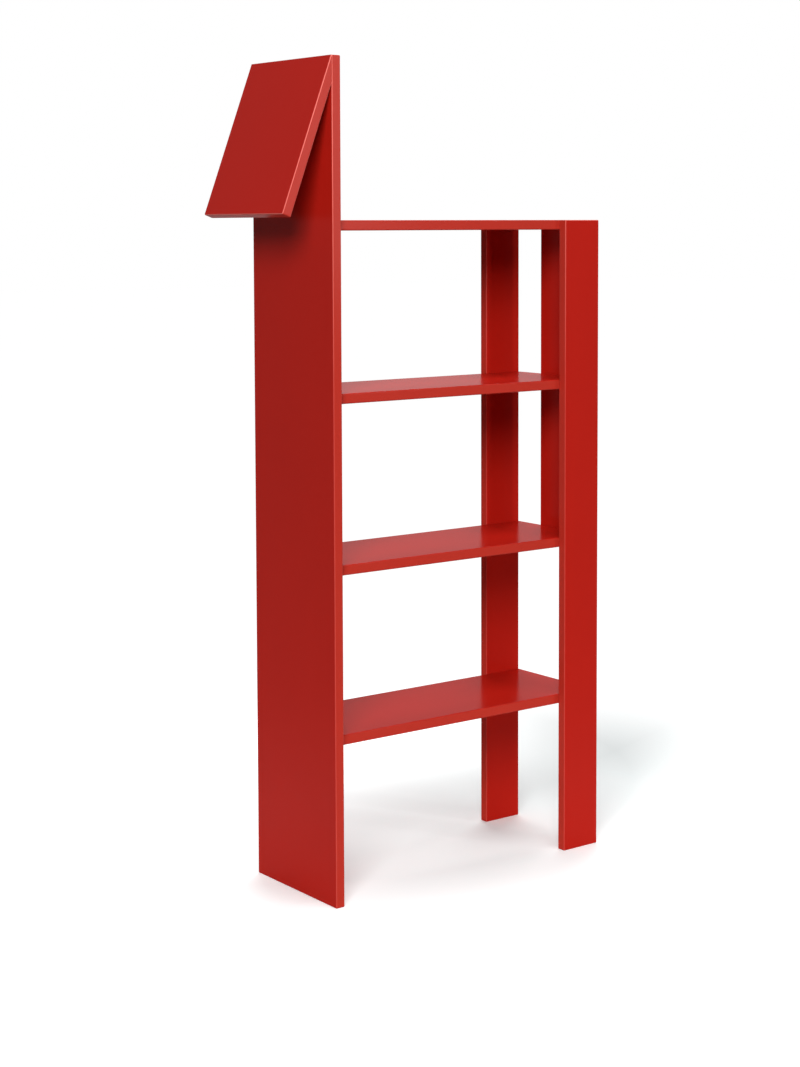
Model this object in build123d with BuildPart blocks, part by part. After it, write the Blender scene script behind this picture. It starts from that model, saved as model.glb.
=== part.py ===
from build123d import *
from math import cos, hypot, radians, sin, tan
import os

os.makedirs("parts", exist_ok=True)

# A bookshelf of lacquered boards that stand for a giraffe, in millimetres.
# X runs from the head to the tail, Y across the depth and Z up from the floor.
# The origin is on the floor, under the middle of the whole outline.

# Boards
board = 18.0  # thickness of every board
arris = 2.0  # rounding of the boards' edges
total_depth = 250.0  # width of the neck and head boards, and over both legs
body_length = 615.0  # from the neck's outer face to the shelves' free ends
shelf_spacing = 300.0  # from one shelf's top to the next, and from the floor to the lowest
neck_rise = 280.0  # neck above the top shelf
leg_width = 84.0
tail_width = 84.0

# Head
head_length = 288.0  # sloping outer face, from its tip to its lower edge
head_slope = 20.7  # degrees between the head and the neck
head_tip = 1.0  # blunt tip that is left at the neck's top

# Connecting bolts, which screw into an upright and reach into a shelf
thread_diameter = 6.0
thread_length = 11.0
shank_diameter = 7.0
shank_gap = 0.5  # from the end of the shank to the cam
bolt_neck_diameter = 4.0
bolt_shoulder = 3.7  # from the shoulder of the bolt's head to the middle of the cam
bolt_head_diameter = 6.5
bolt_head_thickness = 2.5
bolt_bore = 8.0  # in the shelf's edge
bolt_recess_depth = 1.8  # hexagon socket in the head
bolt_recess_width = 3.0

# Cam locks, which hold the bolts' heads and are turned from under the shelf
cam_diameter = 14.9
cam_setback = 24.0  # from the shelf's edge to the middle of the cam
cam_roof = 1.1  # metal above the channel for the bolt's head
cam_channel_arc = 200.0
cam_cross_length = 9.0
cam_cross_width = 1.8
cam_cross_depth = 3.0
cam_rim = 0.4

# Dowels
dowel_diameter = 8.0
dowel_in_upright = 10.5
dowel_in_shelf = 19.5
dowel_chamfer = 0.8
head_dowel_edge = 10.0  # from the lower end of the head's mitre to the dowels
head_dowel_skin = 4.0  # head board left in front of the dowels' bores
head_dowels_apart = 85.0

# Places of the fittings along each joint, from the edges of the board that is joined
neck_bolt_edge = 48.0
neck_dowel_edge = 20.0
narrow_dowel_edge = 16.0  # on the legs and the tail, each with one bolt in the middle

# Clearances
fit = 0.05  # around a dowel, a thread or a cam, on the radius
end_gap = 0.5  # beyond the end of a dowel, a thread or a cam
channel_gap = 0.15  # around the bolt's head in the cam

# Heights
shelf_names = ["lower_shelf", "middle_shelf", "upper_shelf", "top_shelf"]
shelf_tops = [shelf_spacing * (place + 1) for place in range(len(shelf_names))]
body_height = shelf_tops[-1]
total_height = body_height + neck_rise
tail_bottom = shelf_tops[1] - board

# Lengths and places along X, measured from the middle of the outline
slope = radians(head_slope)
head_reach = head_tip + head_length * sin(slope) - arris * (cos(slope) + sin(slope) - 1)
neck_outer_x = (head_reach - body_length - board) / 2
neck_inner_x = neck_outer_x + board
shelf_end_x = neck_outer_x + body_length
leg_x = shelf_end_x - leg_width / 2

# Shelves lie between the neck and the tail, and between the two legs
shelf_length = shelf_end_x - neck_inner_x
shelf_x = (shelf_end_x + neck_inner_x) / 2
shelf_depth = total_depth - 2 * board

# The mitre where the head meets the neck
mitre_height = board / sin(slope) - head_tip / tan(slope)
head_dowel_z = total_height - mitre_height + head_dowel_edge
mitre_depth = head_tip + (total_height - head_dowel_z - dowel_diameter / 2) * tan(slope)
dowel_in_head = mitre_depth - head_dowel_skin - end_gap

# Sizes of the cams and bolts that follow from the others
channel_height = bolt_head_diameter + 2 * channel_gap
cam_height = board / 2 + channel_height / 2 + cam_roof
cam_bore = cam_diameter + 2 * fit
cam_bore_depth = cam_height + end_gap
shank_length = cam_setback - cam_diameter / 2 - shank_gap
head_shoulder = cam_setback - bolt_shoulder
channel_radius = hypot(bolt_shoulder, bolt_head_diameter / 2) + fit
thread_bore = thread_diameter + 2 * fit
dowel_bore = dowel_diameter + 2 * fit

# Each joint is the face where an upright meets the shelves. Its plane stands on the upright's
# face, with its own X along the joint, its Y up and its Z into the shelves.
neck_bolt_offset = shelf_depth / 2 - neck_bolt_edge
neck_dowel_offset = shelf_depth / 2 - neck_dowel_edge
leg_dowel_offset = leg_width / 2 - narrow_dowel_edge
tail_dowel_offset = tail_width / 2 - narrow_dowel_edge

joints = {
    "neck": {
        "plane": Plane(origin=(neck_inner_x, 0, 0), x_dir=(0, 1, 0), z_dir=(1, 0, 0)),
        "bolts": [-neck_bolt_offset, neck_bolt_offset],
        "dowels": [-neck_dowel_offset, neck_dowel_offset],
        "shelves": shelf_names,
    },
    "front_leg": {
        "plane": Plane(origin=(leg_x, -shelf_depth / 2, 0), x_dir=(-1, 0, 0), z_dir=(0, 1, 0)),
        "bolts": [0],
        "dowels": [-leg_dowel_offset, leg_dowel_offset],
        "shelves": shelf_names,
    },
    "rear_leg": {
        "plane": Plane(origin=(leg_x, shelf_depth / 2, 0), x_dir=(1, 0, 0), z_dir=(0, -1, 0)),
        "bolts": [0],
        "dowels": [-leg_dowel_offset, leg_dowel_offset],
        "shelves": shelf_names,
    },
    "tail": {
        "plane": Plane(origin=(shelf_end_x, 0, 0), x_dir=(0, -1, 0), z_dir=(-1, 0, 0)),
        "bolts": [0],
        "dowels": [-tail_dowel_offset, tail_dowel_offset],
        "shelves": shelf_names[1:],
    },
}
shelf_axes = {name: top - board / 2 for name, top in zip(shelf_names, shelf_tops)}

# Turns about a joint's own X, so that a bore sunk there runs the way that is named
into_upright = 0
into_shelf = 180
up_from_below = 90


def fitting_spots(joint, fitting, names, turn, rise=0, setback=0):
    """Places of one kind of fitting on a joint, at those of the named shelves that it holds."""
    return [
        joint["plane"].location * Location((place, shelf_axes[name] + rise, setback), (turn, 0, 0))
        for name in names
        if name in joint["shelves"]
        for place in joint[fitting]
    ]


def drill_upright(joint):
    """Bores in an upright, as a solid to take out of it."""
    with BuildPart() as bores:
        with Locations(*fitting_spots(joint, "bolts", shelf_names, into_upright)):
            Hole(thread_bore / 2, thread_length + end_gap, mode=Mode.ADD)
        with Locations(*fitting_spots(joint, "dowels", shelf_names, into_upright)):
            Hole(dowel_bore / 2, dowel_in_upright + end_gap, mode=Mode.ADD)
    return bores.part


# Neck board
head_plane = Plane(origin=(neck_outer_x, 0, 0), x_dir=(0, -1, 0), z_dir=(-1, 0, 0))
head_dowel_spots = [
    head_plane.location * Location((place, head_dowel_z, 0))
    for place in (-head_dowels_apart, 0, head_dowels_apart)
]
with BuildPart() as neck_panel:
    with BuildSketch():
        with Locations(((neck_outer_x + neck_inner_x) / 2, 0)):
            Rectangle(board, total_depth)
    extrude(amount=total_height)
    fillet(neck_panel.edges(), radius=arris)
    add(drill_upright(joints["neck"]), mode=Mode.SUBTRACT)
    with Locations(*head_dowel_spots):
        Hole(dowel_bore / 2, dowel_in_upright + end_gap)
neck_panel.part.label = "neck_panel"
export_step(neck_panel.part, "parts/neck_panel.step")


# Head board, rounded while it is square and then cut to the neck's face and top
head_face = Plane(
    origin=(neck_outer_x - head_tip, 0, total_height),
    x_dir=(-sin(slope), 0, -cos(slope)),
    z_dir=(-cos(slope), 0, sin(slope)),
)
with BuildPart() as head_panel:
    with BuildSketch(head_face):
        with Locations((head_length, 0)):
            Rectangle(head_length + mitre_height, total_depth, align=(Align.MAX, Align.CENTER))
    extrude(amount=-board)
    fillet(head_panel.edges(), radius=arris)
    split(bisect_by=head_plane, keep=Keep.TOP)
    split(bisect_by=Plane.XY.offset(total_height), keep=Keep.BOTTOM)
    with Locations(*[spot * Location((0, 0, 0), (into_shelf, 0, 0)) for spot in head_dowel_spots]):
        Hole(dowel_bore / 2, dowel_in_head + end_gap)
head_panel.part.label = "head_panel"
export_step(head_panel.part, "parts/head_panel.step")


# Shelves, bored from the edges for the bolts and dowels and from below for the cams
for name, top in zip(shelf_names, shelf_tops):
    with BuildPart() as shelf:
        with BuildSketch(Plane.XY.offset(top)):
            with Locations((shelf_x, 0)):
                Rectangle(shelf_length, shelf_depth)
        extrude(amount=-board)
        fillet(shelf.edges(), radius=arris)
        for joint in joints.values():
            if name in joint["shelves"]:
                with Locations(*fitting_spots(joint, "bolts", [name], into_shelf)):
                    Hole(bolt_bore / 2, cam_setback)
                with Locations(*fitting_spots(joint, "dowels", [name], into_shelf)):
                    Hole(dowel_bore / 2, dowel_in_shelf + end_gap)
                cam_feet = fitting_spots(joint, "bolts", [name], up_from_below, -board / 2, cam_setback)
                with Locations(*cam_feet):
                    Hole(cam_bore / 2, cam_bore_depth)
    shelf.part.label = name
    export_step(shelf.part, f"parts/{name}.step")


# Hind legs, the same board on each long edge of the shelves
leg_middles = {"front_leg": -(shelf_depth + board) / 2, "rear_leg": (shelf_depth + board) / 2}
for name, middle_y in leg_middles.items():
    with BuildPart() as leg:
        with BuildSketch():
            with Locations((leg_x, middle_y)):
                Rectangle(leg_width, board)
        extrude(amount=body_height)
        fillet(leg.edges(), radius=arris)
        add(drill_upright(joints[name]), mode=Mode.SUBTRACT)
    leg.part.label = name
    export_step(leg.part, f"parts/{name}.step")


# Tail board, on the free ends of the three upper shelves
with BuildPart() as tail_board:
    with BuildSketch(Plane.XY.offset(tail_bottom)):
        with Locations((shelf_end_x + board / 2, 0)):
            Rectangle(board, tail_width)
    extrude(amount=body_height - tail_bottom)
    fillet(tail_board.edges(), radius=arris)
    add(drill_upright(joints["tail"]), mode=Mode.SUBTRACT)
tail_board.part.label = "tail_board"
export_step(tail_board.part, "parts/tail_board.step")


# One connecting bolt, with the joint's plane at Z = 0 and its thread below it
with BuildPart() as bolt:
    with BuildSketch():
        Circle(thread_diameter / 2)
    extrude(amount=-thread_length)
    with BuildSketch():
        Circle(shank_diameter / 2)
    extrude(amount=shank_length)
    with BuildSketch(Plane.XY.offset(shank_length)):
        Circle(bolt_neck_diameter / 2)
    extrude(amount=head_shoulder - shank_length)
    with BuildSketch(Plane.XY.offset(head_shoulder)):
        Circle(bolt_head_diameter / 2)
    extrude(amount=bolt_head_thickness)
    with BuildSketch(Plane.XY.offset(head_shoulder + bolt_head_thickness)):
        RegularPolygon(bolt_recess_width / 2, 6, major_radius=False)
    extrude(amount=-bolt_recess_depth, mode=Mode.SUBTRACT)


# One cam lock, in the same frame as the bolt, standing along the joint's own Y
cam_middle = (0, 0, cam_setback)
cam_foot = Plane(origin=(0, -board / 2, cam_setback), x_dir=(1, 0, 0), z_dir=(0, 1, 0))
channel_start = radians(cam_channel_arc / 2)
channel_side = Vector(sin(channel_start), 0, -cos(channel_start))
channel_profile = Plane(origin=cam_middle, x_dir=channel_side, z_dir=channel_side.cross(Vector(0, 1, 0)))
with BuildPart() as cam:
    with BuildSketch(cam_foot):
        Circle(cam_diameter / 2)
    extrude(amount=cam_height)
    chamfer(cam.edges().filter_by(GeomType.CIRCLE), length=cam_rim)
    with BuildSketch(channel_profile):
        Rectangle(channel_radius, channel_height, align=(Align.MIN, Align.CENTER))
        Rectangle(cam_diameter, bolt_neck_diameter + 2 * channel_gap, align=(Align.MIN, Align.CENTER))
    revolve(axis=Axis(cam_middle, (0, 1, 0)), revolution_arc=cam_channel_arc, mode=Mode.SUBTRACT)
    with BuildSketch(Plane(origin=cam_middle, z_dir=channel_side)):
        Circle(channel_height / 2)
    extrude(amount=cam_diameter, mode=Mode.SUBTRACT)
    with BuildSketch(cam_foot):
        Rectangle(cam_cross_length, cam_cross_width)
        Rectangle(cam_cross_width, cam_cross_length)
    extrude(amount=cam_cross_depth, mode=Mode.SUBTRACT)


# One dowel for the shelves and one for the head, each with the joint's plane at Z = 0
with BuildPart() as shelf_dowel:
    with BuildSketch(Plane.XY.offset(-dowel_in_upright)):
        Circle(dowel_diameter / 2)
    extrude(amount=dowel_in_upright + dowel_in_shelf)
    chamfer(shelf_dowel.edges().filter_by(GeomType.CIRCLE), length=dowel_chamfer)

with BuildPart() as head_dowel:
    with BuildSketch(Plane.XY.offset(-dowel_in_upright)):
        Circle(dowel_diameter / 2)
    extrude(amount=dowel_in_upright + dowel_in_head)
    chamfer(head_dowel.edges().filter_by(GeomType.CIRCLE), length=dowel_chamfer)


# Bolts and dowels in groups, one of each for the neck, for each leg and for the tail
for name, joint in joints.items():
    with BuildPart() as bolts:
        with Locations(*fitting_spots(joint, "bolts", shelf_names, into_upright)):
            add(bolt.part)
    bolts.part.label = f"{name}_bolts"
    export_step(bolts.part, f"parts/{name}_bolts.step")

    with BuildPart() as dowels:
        with Locations(*fitting_spots(joint, "dowels", shelf_names, into_upright)):
            add(shelf_dowel.part)
    dowels.part.label = f"{name}_dowels"
    export_step(dowels.part, f"parts/{name}_dowels.step")


# Cams in groups, one for each shelf
for name in shelf_names:
    with BuildPart() as cams:
        for joint in joints.values():
            if name in joint["shelves"]:
                with Locations(*fitting_spots(joint, "bolts", [name], into_upright)):
                    add(cam.part)
    cams.part.label = f"{name}_cams"
    export_step(cams.part, f"parts/{name}_cams.step")


# Dowels that carry the head
with BuildPart() as head_dowels:
    with Locations(*head_dowel_spots):
        add(head_dowel.part)
head_dowels.part.label = "head_dowels"
export_step(head_dowels.part, "parts/head_dowels.step")
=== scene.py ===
import math

import bmesh
import bpy
from mathutils import Matrix, Vector


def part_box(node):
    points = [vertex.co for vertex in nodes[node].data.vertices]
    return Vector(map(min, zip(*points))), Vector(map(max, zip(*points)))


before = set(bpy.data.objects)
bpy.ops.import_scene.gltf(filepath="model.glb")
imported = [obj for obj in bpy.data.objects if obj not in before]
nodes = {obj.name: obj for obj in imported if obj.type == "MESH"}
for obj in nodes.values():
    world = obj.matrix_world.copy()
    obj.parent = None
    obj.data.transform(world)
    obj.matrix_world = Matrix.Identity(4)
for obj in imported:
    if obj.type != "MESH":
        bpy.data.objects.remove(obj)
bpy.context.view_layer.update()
scene = bpy.context.scene


# Materials: each one starts from a new node tree, and put() adds a node with its settings and links.

def linearColour(hexCode):
    parts = [int(hexCode[i:i + 2], 16) / 255 for i in (1, 3, 5)]
    return [p / 12.92 if p <= 0.04045 else ((p + 0.055) / 1.055) ** 2.4 for p in parts] + [1.0]


def perMetre(millimetres):
    return 1000 / millimetres  # noise cells in a metre, for cells of that size


def newMaterial(name):
    material = bpy.data.materials.new(name)
    material.use_nodes = True
    material.node_tree.nodes.clear()
    return material


def put(tree, kind, settings=None, **inputs):
    node = tree.nodes.new(kind)
    for key, value in (settings or {}).items():
        setattr(node, key, value)
    for key, value in inputs.items():
        socket = node.inputs[int(key[2:])] if key.startswith("in") else node.inputs[key.replace("_", " ")]
        if isinstance(value, bpy.types.NodeSocket):
            tree.links.new(value, socket)
        else:
            socket.default_value = value
    return node


def noise(tree, vector, millimetres, detail):
    return put(tree, "ShaderNodeTexNoise", Vector=vector, Scale=perMetre(millimetres), Detail=detail).outputs["Fac"]


def calculate(tree, operation, first, second=0.0):
    return put(tree, "ShaderNodeMath", {"operation": operation}, in0=first, in1=second).outputs[0]


def ramp(tree, value, places, levels=(0.0, 1.0)):
    return put(tree, "ShaderNodeMapRange", Value=value, From_Min=places[0], From_Max=places[1], To_Min=levels[0],
               To_Max=levels[1]).outputs[0]


def mixColour(tree, amount, first, second):
    return put(tree, "ShaderNodeMix", {"data_type": "RGBA"}, in0=amount, in6=first, in7=second).outputs["Result"]


def bump(tree, height, metres, settings=None, **more):
    return put(tree, "ShaderNodeBump", settings, Strength=1.0, Distance=metres, Height=height, **more).outputs[0]


def roughnessAround(tree, value, look):
    middle, spread = look["roughness"], look["roughnessSpread"]
    return ramp(tree, value, (0.0, 1.0), (middle - spread, middle + spread))


def finishTree(tree, shader):
    put(tree, "ShaderNodeOutputMaterial", Surface=shader.outputs[0])


# Satin lacquer, sprayed on fibreboard in several coats: an even deep red with a soft, slightly wavy gloss.
lacquer = {
    "colour": "#BD2016",
    "deepColour": "#B71E14",  # where the coats lie thicker
    "paleEdgeAndSheenColour": "#BD3327",  # the sawn edges drink the lacquer and dry a little paler; the paleness is also a painted sheen, for the pinker gleam of the lit front edges
    "arrisColour": "#EE7A70",  # the lacquer is thinnest on the rounded arrises and dries paler there; higher up the paleness is mostly a painted highlight, for the lamps' gleam on them
    "arrisHighlightHeights": (0.9, 1.35),  # metres from the floor, where the painted arris highlight starts and where it is full
    "leastArrisHighlight": 0.25,
    "edgeTurn": (0.9, 0.2),  # cosines from the board's face: the edge colour starts, and is full
    "offEdgeTurn": (0.2, 0.45),  # cosines between which an arris leaves the edge
    "offFaceTurn": (0.97, 0.88),  # cosines between which it leaves the face
    "patch": 180,  # mm, width of the places where the coats lie thicker
    "roughness": 0.42,
    "roughnessSpread": 0.04,
    "sprayGrain": 9,  # mm; the real orange peel is 2 to 3 mm wide, too fine to show from here
    "sprayHeight": 0.000012,  # metres, as every height here
    "edgeFibre": 1.5,  # mm; the fibres under the lacquer of a sawn edge are finer still
    "edgeHeight": 0.000008,
    "coatRoughness": 0.2,
    "coatIor": 1.2,
    "boardShift": 1.37,  # metres in the noise from one board to the next, so that no two are alike
    "sideShare": 0.7,  # of that shift, sideways
}


def lacquerMaterial(name, board, shift):
    material = newMaterial(name)
    tree = material.node_tree
    place = put(tree, "ShaderNodeTexCoord")
    spot = put(tree, "ShaderNodeMapping", Vector=place.outputs["Object"],
               Location=(shift, shift * lacquer["sideShare"], 0)).outputs[0]
    patches = noise(tree, spot, lacquer["patch"], 2.0)
    spray = noise(tree, spot, lacquer["sprayGrain"], 1.0)
    fibre = noise(tree, spot, lacquer["edgeFibre"], 2.0)
    facing = put(tree, "ShaderNodeVectorMath", {"operation": "DOT_PRODUCT"}, in0=place.outputs["Normal"],
                 in1=board["faceNormal"])
    face = calculate(tree, "ABSOLUTE", facing.outputs["Value"])
    edge = ramp(tree, face, lacquer["edgeTurn"])  # 0 on the board's faces and 1 on its sawn edges
    faceColour = mixColour(tree, patches, linearColour(lacquer["colour"]), linearColour(lacquer["deepColour"]))
    # paler sawn edges: partly the lacquer's own colour there, partly a painted sheen
    boardColour = mixColour(tree, edge, faceColour, linearColour(lacquer["paleEdgeAndSheenColour"]))
    # 1 where the surface turns from a face to an edge, which is on the arrises alone
    arris = calculate(tree, "MULTIPLY", ramp(tree, face, lacquer["offEdgeTurn"]),
                      ramp(tree, face, lacquer["offFaceTurn"]))
    height = put(tree, "ShaderNodeSeparateXYZ", in0=place.outputs["Object"]).outputs["Z"]
    # painted highlight on the arrises: strongest high up and on the uprights, where the lamps gleam on them; a little
    # of it is the thinner lacquer's paler colour
    arrisHighlightReach = ramp(tree, height, lacquer["arrisHighlightHeights"], (lacquer["leastArrisHighlight"] * board["arrisHighlight"], board["arrisHighlight"]))
    colour = mixColour(tree, calculate(tree, "MULTIPLY", arris, arrisHighlightReach), boardColour,
                       linearColour(lacquer["arrisColour"]))
    wavy = bump(tree, spray, lacquer["sprayHeight"])
    fine = bump(tree, calculate(tree, "MULTIPLY", edge, fibre), lacquer["edgeHeight"], Normal=wavy)
    shader = put(tree, "ShaderNodeBsdfPrincipled", Base_Color=colour, Roughness=roughnessAround(tree, spray, lacquer),
                 Specular_IOR_Level=0.0, Coat_Weight=board["sheen"], Coat_Roughness=lacquer["coatRoughness"],
                 Coat_IOR=lacquer["coatIor"], Normal=fine, Coat_Normal=wavy)
    finishTree(tree, shader)
    return material


# Of each board: the direction its faces look in, how strong the painted highlight on its arrises is, and how much of a
# full gloss its lacquer gives back, which is about a third for satin
headTilt = math.radians(20.7)
boards = {
    "neck_panel": {"faceNormal": (1, 0, 0), "arrisHighlight": 1.0, "sheen": 0.32},
    "head_panel": {"faceNormal": (math.cos(headTilt), 0, -math.sin(headTilt)), "arrisHighlight": 1.0, "sheen": 0.32},
    "top_shelf": {"faceNormal": (0, 0, 1), "arrisHighlight": 0.0, "sheen": 0.32},
    # its sheen is raised above the other shelves': a painted sheen on the same lacquer
    "upper_shelf": {"faceNormal": (0, 0, 1), "arrisHighlight": 0.0, "sheen": 0.38},
    "middle_shelf": {"faceNormal": (0, 0, 1), "arrisHighlight": 0.0, "sheen": 0.32},
    "lower_shelf": {"faceNormal": (0, 0, 1), "arrisHighlight": 0.0, "sheen": 0.32},
    "front_leg": {"faceNormal": (0, 1, 0), "arrisHighlight": 0.8, "sheen": 0.32},
    # its sheen is lowered because it stands in shade: a painted shade on the same lacquer
    "rear_leg": {"faceNormal": (0, 1, 0), "arrisHighlight": 0.8, "sheen": 0.16},
    "tail_board": {"faceNormal": (1, 0, 0), "arrisHighlight": 0.5, "sheen": 0.32},
}


def dress(node, material):
    for slot in nodes[node].material_slots:
        slot.material = material


for number, (node, board) in enumerate(boards.items()):
    dress(node, lacquerMaterial("satinRedLacquer." + node, board, number * lacquer["boardShift"]))
print("boards lacquered")

# Die-cast zinc of the cam locks: a dull blue-grey metal with the fine pimples of the mould.
castZinc = {
    "colour": "#B2B3B3",
    "stainColour": "#8E8F8F",
    "stain": 5,  # mm
    "roughness": 0.46,
    "roughnessSpread": 0.09,
    "grain": 0.7,  # mm; the mould's real grain is nearer 0.2 mm, too fine to show
    "grainHeight": 0.00003,
}


def castZincMaterial():
    material = newMaterial("dieCastZinc")
    tree = material.node_tree
    place = put(tree, "ShaderNodeTexCoord").outputs["Object"]
    stain = noise(tree, place, castZinc["stain"], 3.0)
    grain = noise(tree, place, castZinc["grain"], 2.0)
    colour = mixColour(tree, stain, linearColour(castZinc["colour"]), linearColour(castZinc["stainColour"]))
    shader = put(tree, "ShaderNodeBsdfPrincipled", Base_Color=colour, Metallic=1.0,
                 Roughness=roughnessAround(tree, stain, castZinc),
                 Normal=bump(tree, grain, castZinc["grainHeight"]))
    finishTree(tree, shader)
    return material


# Zinc-plated steel of the connecting bolts: brighter than the cams, turned smooth, with the thread's turns
# drawn on the end that is screwed into the upright.
platedSteel = {
    "colour": "#CDCFD0",
    "dullColour": "#B0B2AE",
    "patch": 3,  # mm
    "roughness": 0.3,
    "roughnessSpread": 0.07,
    "turningMark": 0.5,  # mm; a lathe's real marks are 0.1 mm apart, too fine to show
    "turningHeight": 0.000006,
    "threadPitch": 0.0025,  # metres
    "threadHeight": 0.0006,
}


def platedSteelMaterial(name, along, jointPlane, outwards):
    material = newMaterial(name)
    tree = material.node_tree
    place = put(tree, "ShaderNodeTexCoord").outputs["Object"]
    axes = put(tree, "ShaderNodeSeparateXYZ", in0=place)
    depth = calculate(tree, "SUBTRACT", axes.outputs[along], jointPlane)
    threaded = calculate(tree, "GREATER_THAN", calculate(tree, "MULTIPLY", depth, outwards), 0.0)
    rootToCrest = platedSteel["threadPitch"] / 2
    turns = calculate(tree, "PINGPONG", depth, rootToCrest)
    thread = calculate(tree, "MULTIPLY", calculate(tree, "MULTIPLY", turns, 1 / rootToCrest), threaded)
    marks = put(tree, "ShaderNodeTexNoise", {"noise_dimensions": "1D"}, W=depth,
                Scale=perMetre(platedSteel["turningMark"]), Detail=2.0).outputs["Fac"]
    patches = noise(tree, place, platedSteel["patch"], 2.0)
    colour = mixColour(tree, patches, linearColour(platedSteel["colour"]), linearColour(platedSteel["dullColour"]))
    turned = bump(tree, marks, platedSteel["turningHeight"])
    shader = put(tree, "ShaderNodeBsdfPrincipled", Base_Color=colour, Metallic=1.0,
                 Roughness=roughnessAround(tree, marks, platedSteel),
                 Normal=bump(tree, thread, platedSteel["threadHeight"], Normal=turned))
    finishTree(tree, shader)
    return material


# Turned beech of the dowels: pale pinkish wood with straight grain and short brown flecks along it.
beech = {
    "colour": "#D8B68C",
    "lateColour": "#C49A6C",
    "fleckColour": "#9A6B42",
    "growth": 1.6,  # mm, width of a year's growth on so thin a rod
    "grainStretch": 0.06,  # how much slower the grain changes along the dowel than across it
    "fleckWidth": 0.4,  # mm
    "fleckStretch": 0.2,  # a fleck is about 2 mm long
    "fleckLevels": (0.62, 0.67),  # noise levels at which a fleck starts and is full
    "roughness": 0.62,
    "fleckDepth": 0.00004,
}


def beechMaterial(name, along):
    material = newMaterial(name)
    tree = material.node_tree
    place = put(tree, "ShaderNodeTexCoord").outputs["Object"]
    grainScale = [beech["grainStretch"] if axis == along else 1.0 for axis in range(3)]
    fleckScale = [beech["fleckStretch"] if axis == along else 1.0 for axis in range(3)]
    grainSpot = put(tree, "ShaderNodeMapping", Vector=place, Scale=grainScale).outputs[0]
    fleckSpot = put(tree, "ShaderNodeMapping", Vector=place, Scale=fleckScale).outputs[0]
    grain = noise(tree, grainSpot, beech["growth"], 3.0)
    fleck = ramp(tree, noise(tree, fleckSpot, beech["fleckWidth"], 1.0), beech["fleckLevels"])
    wood = mixColour(tree, grain, linearColour(beech["colour"]), linearColour(beech["lateColour"]))
    shader = put(tree, "ShaderNodeBsdfPrincipled",
                 Base_Color=mixColour(tree, fleck, wood, linearColour(beech["fleckColour"])),
                 Roughness=beech["roughness"], Normal=bump(tree, fleck, beech["fleckDepth"], {"invert": True}))
    finishTree(tree, shader)
    return material


# For the fittings of each upright: the axis they lie along (0 is X, 1 is Y), the joint's plane in metres, and the
# side of it that the upright is on
uprightFittings = {
    "neck": (0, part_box("neck_panel")[1][0], -1),
    "front_leg": (1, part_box("front_leg")[1][1], -1),
    "rear_leg": (1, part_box("rear_leg")[0][1], 1),
    "tail": (0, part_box("tail_board")[0][0], 1),
}
zinc = castZincMaterial()
for shelf in ("top_shelf", "upper_shelf", "middle_shelf", "lower_shelf"):
    dress(shelf + "_cams", zinc)
beechAlong = [beechMaterial("turnedBeech." + axis, number) for number, axis in enumerate("XY")]
for upright, (along, jointPlane, outwards) in uprightFittings.items():
    dress(upright + "_bolts", platedSteelMaterial("zincPlatedSteel." + upright, along, jointPlane, outwards))
    dress(upright + "_dowels", beechAlong[along])
dress("head_dowels", beechAlong[0])
print("cams, bolts and dowels finished")

# Camera, placed from the photograph's vanishing lines
camera = {
    "place": (-2.2207, -2.90426, 1.18894),
    "yaw": 37.0492,
    "pitch": 3.9595,  # degrees, downwards
    "roll": -0.1882,
    "focal": 1987.52,  # pixels of the photograph, as centreY and height
    "centreY": 364.0,
    "height": 1067,
    "sensor": 36,  # mm along the picture's height
    "clipEnd": 100,
}
cameraData = bpy.data.cameras.new("camera")
cameraObject = bpy.data.objects.new("camera", cameraData)
scene.collection.objects.link(cameraObject)
cameraData.sensor_width = camera["sensor"]
cameraData.lens = camera["focal"] * cameraData.sensor_width / camera["height"]
cameraData.shift_y = -(camera["height"] / 2 - camera["centreY"]) / camera["height"]
cameraData.clip_end = camera["clipEnd"]
cameraObject.matrix_world = (Matrix.Translation(camera["place"])
                             @ Matrix.Rotation(-math.radians(camera["yaw"]), 4, "Z")
                             @ Matrix.Rotation(math.radians(90 - camera["pitch"]), 4, "X")
                             @ Matrix.Rotation(math.radians(camera["roll"]), 4, "Z"))
scene.camera = cameraObject
print("camera placed")

# White background paper: matt, lit by the lamps, and lifted by a painted glow to pure white for the eye everywhere but
# in the bookshelf's soft shadow. Distances are metres from the middle of the bookshelf's footprint.
surroundings = {
    "floorSize": 60,
    "floorColour": "#F1F7F7",
    "darkFloor": "#585858",  # of the studio beyond the paper, which sends little light back
    "paperFade": (0.7, 1.7),
    "liftAlong": (0.33, -0.94, 0),  # from behind the bookshelf to its front leg's side
    "liftPlaces": (-0.55, -0.05),
    "lifts": (0.85, 0.11),  # behind the bookshelf, and where its shadow is left grey
    "shadowMiddle": (0.16, 0.66, 0),
    "shadowFade": (0.75, 1.21),  # distances from the shadow's middle, at which the grey ends
    "fullLift": 1.0,
    "ambient": 0.02,
    "white": "#FFFFFF",
}


def seenDirectly(tree):
    rays = put(tree, "ShaderNodeLightPath")
    some = calculate(tree, "MAXIMUM", rays.outputs["Is Camera Ray"], rays.outputs["Is Glossy Ray"])
    return calculate(tree, "MAXIMUM", some, rays.outputs["Is Transmission Ray"])


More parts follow.
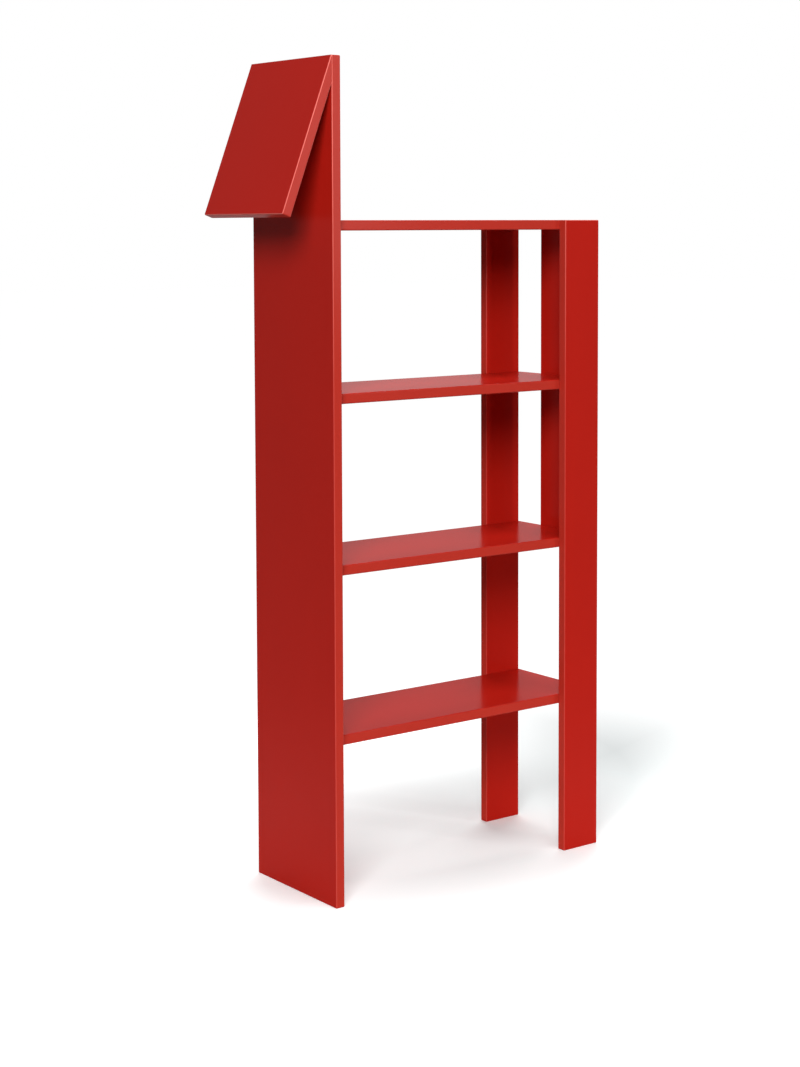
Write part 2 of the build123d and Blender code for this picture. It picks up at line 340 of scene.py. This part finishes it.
def paperFloor():
    material = newMaterial("whiteBackgroundPaper")
    tree = material.node_tree
    place = put(tree, "ShaderNodeTexCoord").outputs["Object"]
    across = put(tree, "ShaderNodeVectorMath", {"operation": "DOT_PRODUCT"}, in0=place,
                 in1=surroundings["liftAlong"]).outputs["Value"]
    away = put(tree, "ShaderNodeVectorMath", {"operation": "LENGTH"}, in0=place).outputs["Value"]
    fromShadow = put(tree, "ShaderNodeVectorMath", {"operation": "DISTANCE"}, in0=place,
                     in1=surroundings["shadowMiddle"]).outputs["Value"]
    nearby = ramp(tree, across, surroundings["liftPlaces"], surroundings["lifts"])
    lift = ramp(tree, fromShadow, surroundings["shadowFade"], (nearby, surroundings["fullLift"]))
    beyond = ramp(tree, away, surroundings["paperFade"])
    shade = mixColour(tree, beyond, linearColour(surroundings["floorColour"]), linearColour(surroundings["darkFloor"]))
    paper = put(tree, "ShaderNodeBsdfDiffuse", Color=shade)
    # painted glow: an emission seen only by camera, glossy and transmission rays, strongest behind the bookshelf and
    # weakest in its shadow
    glow = put(tree, "ShaderNodeEmission", Color=linearColour(surroundings["white"]),
               Strength=calculate(tree, "MULTIPLY", seenDirectly(tree), lift))
    finishTree(tree, put(tree, "ShaderNodeAddShader", in0=paper.outputs[0], in1=glow.outputs[0]))
    mesh = bpy.data.meshes.new("floor")
    shape = bmesh.new()
    bmesh.ops.create_grid(shape, x_segments=1, y_segments=1, size=surroundings["floorSize"] / 2)
    shape.to_mesh(mesh)
    shape.free()
    mesh.materials.append(material)
    floor = bpy.data.objects.new("floor", mesh)
    scene.collection.objects.link(floor)


def surroundingLight():
    world = bpy.data.worlds.new("studio")
    world.use_nodes = True
    tree = world.node_tree
    tree.nodes.clear()
    strength = ramp(tree, seenDirectly(tree), (0.0, 1.0), (surroundings["ambient"], 1.0))
    background = put(tree, "ShaderNodeBackground", Color=linearColour(surroundings["white"]), Strength=strength)
    put(tree, "ShaderNodeOutputWorld", Surface=background.outputs[0])
    scene.world = world


paperFloor()
surroundingLight()
print("floor and surroundings made")

# Lamps: soft boxes around the bookshelf, each one aimed at its middle and placed by its bearing from there, in
# degrees from +Y towards +X. Lengths are in metres.
lamps = {
    "keyBox": {"bearing": 223, "height": 26, "distance": 6.0, "wide": 2.2, "tall": 2.2, "watts": 289},
    "frontBox": {"bearing": 180, "height": 64, "distance": 5.0, "wide": 2.0, "tall": 2.0, "watts": 80},
    "backBox": {"bearing": 41, "height": 50, "distance": 4.5, "wide": 2.8, "tall": 2.8, "watts": 120},
    "stripBox": {"bearing": 149, "height": 9, "distance": 5.0, "wide": 0.4, "tall": 1.2, "watts": 34},
}
aim = Vector((0, 0, 0.75))
for name, lamp in lamps.items():
    light = bpy.data.lights.new(name, "AREA")
    light.shape = "RECTANGLE"
    light.size = lamp["wide"]
    light.size_y = lamp["tall"]
    light.energy = lamp["watts"]
    box = bpy.data.objects.new(name, light)
    bearing, height = math.radians(lamp["bearing"]), math.radians(lamp["height"])
    away = Vector((math.sin(bearing) * math.cos(height), math.cos(bearing) * math.cos(height), math.sin(height)))
    box.location = aim + away * lamp["distance"]
    box.rotation_euler = away.to_track_quat("Z", "Y").to_euler()
    scene.collection.objects.link(box)
print("lamps placed")

scene.view_settings.view_transform = "Standard"
